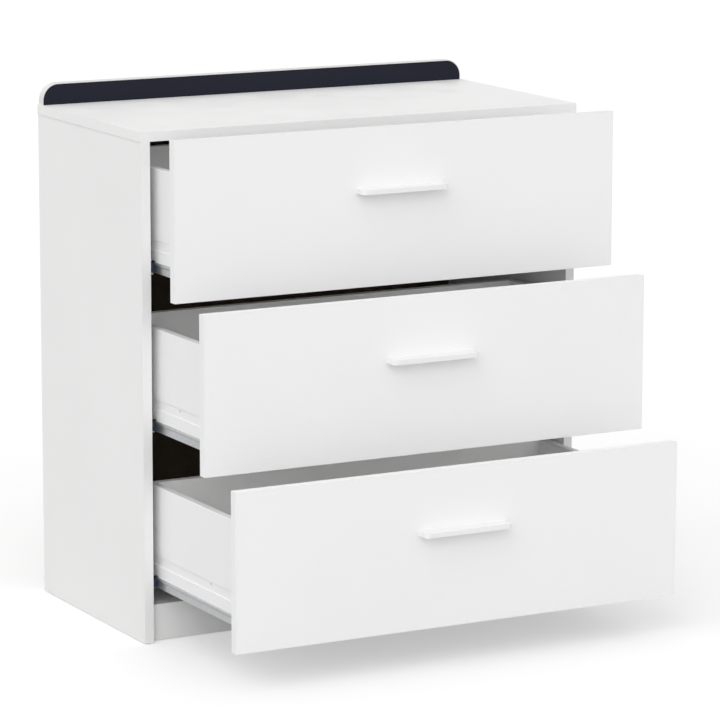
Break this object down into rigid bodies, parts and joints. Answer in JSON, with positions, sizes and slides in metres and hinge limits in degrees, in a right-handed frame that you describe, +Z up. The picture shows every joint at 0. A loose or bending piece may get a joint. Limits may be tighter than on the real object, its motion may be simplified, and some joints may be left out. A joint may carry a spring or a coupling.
{
  "type": "chest of drawers",
  "caption": "White board chest of drawers on a recessed plinth, with overlay fronts, ledge handles, full-extension runners and a dark-faced upstand along the back of its top.",
  "frame": {"origin": "on the floor, under the middle of the carcass's width and depth (the open drawers don't count)", "axes": "+X to the right as seen from the front, +Y towards the back, +Z up; the drawers open along -Y"},
  "size_m": [0.923, 0.864, 0.997],
  "materials": {
    "white_board": "white melamine-faced chipboard, fine satin texture",
    "white_front": "white melamine-faced chipboard with matching edge band, satin",
    "drawer_board": "pale grey-white melamine-faced chipboard, matt",
    "dark_hardboard": "black-brown hardboard, matt",
    "navy_facing": "dark navy laminate, smooth matt",
    "white_steel": "white powder coat on folded sheet steel",
    "white_handle": "white satin paint on cast metal",
    "galvanised_steel": "zinc-plated rolled steel",
    "zinc_fittings": "bright zinc plate",
    "dark_plastic": "blue-black moulded plastic",
    "pale_plastic": "natural moulded nylon",
    "beech": "bare fluted beech"
  },
  "bodies": {
    "carcass": {"side_panel_left": "white_board", "side_panel_right": "white_board", "top_panel": "white_board", "bottom_panel": "white_board", "plinth": "white_board", "back_panel": "dark_hardboard", "upstand_board": "white_board", "upstand_facing": "navy_facing", "glides": "pale_plastic", "dowels": "beech", "cams": "zinc_fittings", "cam_bolts": "zinc_fittings", "back_nails": "zinc_fittings", "runner_screws": "zinc_fittings", "runner_guides": "dark_plastic", "cabinet_rail_left_top": "galvanised_steel", "cabinet_rail_right_top": "galvanised_steel", "cabinet_rail_left_middle": "galvanised_steel", "cabinet_rail_right_middle": "galvanised_steel", "cabinet_rail_left_bottom": "galvanised_steel", "cabinet_rail_right_bottom": "galvanised_steel"},
    "runners_top": {"middle_rail_left_top": "galvanised_steel", "middle_rail_right_top": "galvanised_steel", "runner_rollers_top": "pale_plastic"},
    "drawer_top": {"drawer_front_top": "white_front", "handle_top": "white_handle", "handle_screws_top": "zinc_fittings", "front_fixings_top": "zinc_fittings", "drawer_side_left_top": "white_steel", "drawer_side_right_top": "white_steel", "drawer_back_top": "drawer_board", "drawer_base_top": "drawer_board", "drawer_rail_left_top": "galvanised_steel", "drawer_rail_right_top": "galvanised_steel"},
    "runners_middle": {"middle_rail_left_middle": "galvanised_steel", "middle_rail_right_middle": "galvanised_steel", "runner_rollers_middle": "pale_plastic"},
    "drawer_middle": {"drawer_front_middle": "white_front", "handle_middle": "white_handle", "handle_screws_middle": "zinc_fittings", "front_fixings_middle": "zinc_fittings", "drawer_side_left_middle": "white_steel", "drawer_side_right_middle": "white_steel", "drawer_back_middle": "drawer_board", "drawer_base_middle": "drawer_board", "drawer_rail_left_middle": "galvanised_steel", "drawer_rail_right_middle": "galvanised_steel"},
    "runners_bottom": {"middle_rail_left_bottom": "galvanised_steel", "middle_rail_right_bottom": "galvanised_steel", "runner_rollers_bottom": "pale_plastic"},
    "drawer_bottom": {"drawer_front_bottom": "white_front", "handle_bottom": "white_handle", "handle_screws_bottom": "zinc_fittings", "front_fixings_bottom": "zinc_fittings", "drawer_side_left_bottom": "white_steel", "drawer_side_right_bottom": "white_steel", "drawer_back_bottom": "drawer_board", "drawer_base_bottom": "drawer_board", "drawer_rail_left_bottom": "galvanised_steel", "drawer_rail_right_bottom": "galvanised_steel"}
  },
  "joints": [
    {"name": "drawer_top_slide", "type": "slide", "parent": "carcass", "child": "drawer_top", "axis": [0, -1, 0], "range_m": [-0.117, 0.273]},
    {"name": "runners_top_slide", "type": "slide", "parent": "carcass", "child": "runners_top", "axis": [0, -1, 0], "range_m": [-0.059, 0.137]},
    {"name": "drawer_middle_slide", "type": "slide", "parent": "carcass", "child": "drawer_middle", "axis": [0, -1, 0], "range_m": [-0.234, 0.156]},
    {"name": "runners_middle_slide", "type": "slide", "parent": "carcass", "child": "runners_middle", "axis": [0, -1, 0], "range_m": [-0.1175, 0.0785]},
    {"name": "drawer_bottom_slide", "type": "slide", "parent": "carcass", "child": "drawer_bottom", "axis": [0, -1, 0], "range_m": [-0.357, 0.033]},
    {"name": "runners_bottom_slide", "type": "slide", "parent": "carcass", "child": "runners_bottom", "axis": [0, -1, 0], "range_m": [-0.179, 0.017]}
  ],
  "couplings": [
    {"joint": "runners_top_slide", "follows": "drawer_top_slide", "ratio": 0.5},
    {"joint": "runners_middle_slide", "follows": "drawer_middle_slide", "ratio": 0.5},
    {"joint": "runners_bottom_slide", "follows": "drawer_bottom_slide", "ratio": 0.5}
  ]
}
